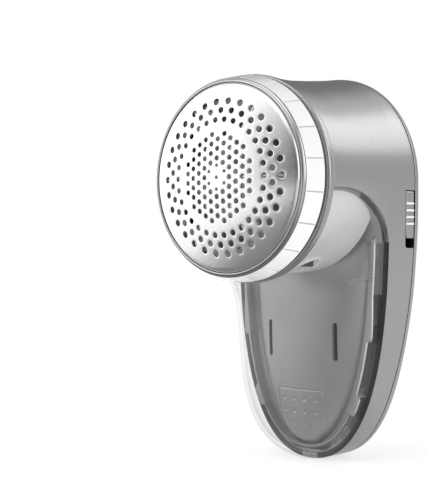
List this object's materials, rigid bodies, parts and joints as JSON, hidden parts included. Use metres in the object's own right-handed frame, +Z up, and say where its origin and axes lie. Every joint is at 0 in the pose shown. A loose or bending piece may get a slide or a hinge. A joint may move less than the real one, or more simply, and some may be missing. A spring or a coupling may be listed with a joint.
{
  "type": "fabric shaver",
  "caption": "Upright hand-held fabric shaver with a round perforated foil head, spinning blade disc, clear lint box and side slide switch.",
  "frame": {"origin": "bottom centre of the shaver standing upright: middle plane, half of the overall depth, lowest point of the handle", "axes": "+Z up the handle to the head, +Y out of the flat back, the foil faces -Y, +X to the side with the slide switch"},
  "size_m": [0.0726, 0.0742, 0.1413],
  "materials": {
    "housing_grey": "metallic silver-grey lacquer, glossy",
    "chamber_grey": "satin silver-grey",
    "clear_plastic": "clear polished plastic",
    "foil_steel": "polished stainless steel",
    "collar_metal": "silver-grey metal",
    "ring_white": "pearl white gloss",
    "inner_plastic": "natural white",
    "disc_plastic": "light grey",
    "blade_steel": "ground steel",
    "screw_steel": "zinc plated",
    "motor_steel": "bright plated",
    "magnet_dark": "ferrite",
    "armature_steel": "laminated core",
    "contact_brass": "bare",
    "dark_plastic": "black",
    "board_green": "solder mask",
    "cell_wrap": "shrink wrap over a can",
    "tab_nickel": "nickel strip",
    "lead_red": "insulated",
    "lead_black": "insulated"
  },
  "bodies": {
    "housing": {"main_housing": "housing_grey", "back_cover": "housing_grey", "cover_screws": "screw_steel", "blade_chamber": "chamber_grey", "inner_panel": "housing_grey", "motor_can": "motor_steel", "motor_magnets": "magnet_dark", "motor_end_cap": "inner_plastic", "motor_terminals": "contact_brass", "motor_screws": "screw_steel", "power_switch": "motor_steel", "circuit_board": "board_green", "board_chips": "dark_plastic", "battery_cell": "cell_wrap", "battery_cradle": "inner_plastic", "battery_tabs": "tab_nickel", "charging_socket": "motor_steel", "socket_tongue": "dark_plastic", "charge_board": "board_green", "motor_leads": "lead_red", "battery_leads": "lead_black"},
    "shaving_head": {"foil": "foil_steel", "foil_collar": "collar_metal", "grip_ring": "ring_white"},
    "rotor": {"blade_driver": "inner_plastic", "blade_disc": "disc_plastic", "blade_1": "blade_steel", "blade_2": "blade_steel", "blade_3": "blade_steel", "blade_4": "blade_steel", "blade_5": "blade_steel", "blade_6": "blade_steel", "rotor_cap": "inner_plastic", "drive_shaft": "screw_steel", "motor_armature": "armature_steel", "motor_commutator": "contact_brass"},
    "lint_container": {"lint_box": "clear_plastic"},
    "slide_switch": {"switch_thumb": "housing_grey", "switch_actuator": "dark_plastic"}
  },
  "joints": [
    {"name": "head_twist", "type": "hinge", "parent": "housing", "child": "shaving_head", "pos_m": [0, 0, 0.1019], "axis": [0, -1, 0], "range_deg": [0, 30]},
    {"name": "rotor_spin", "type": "hinge", "parent": "housing", "child": "rotor", "pos_m": [0, 0, 0.1019], "axis": [0, -1, 0], "continuous": true},
    {"name": "lint_box_slide", "type": "slide", "parent": "housing", "child": "lint_container", "axis": [0, 0, -1], "range_m": [0, 0.05]},
    {"name": "switch_slide", "type": "slide", "parent": "housing", "child": "slide_switch", "axis": [0, 0, -1], "range_m": [0, 0.0032]}
  ]
}
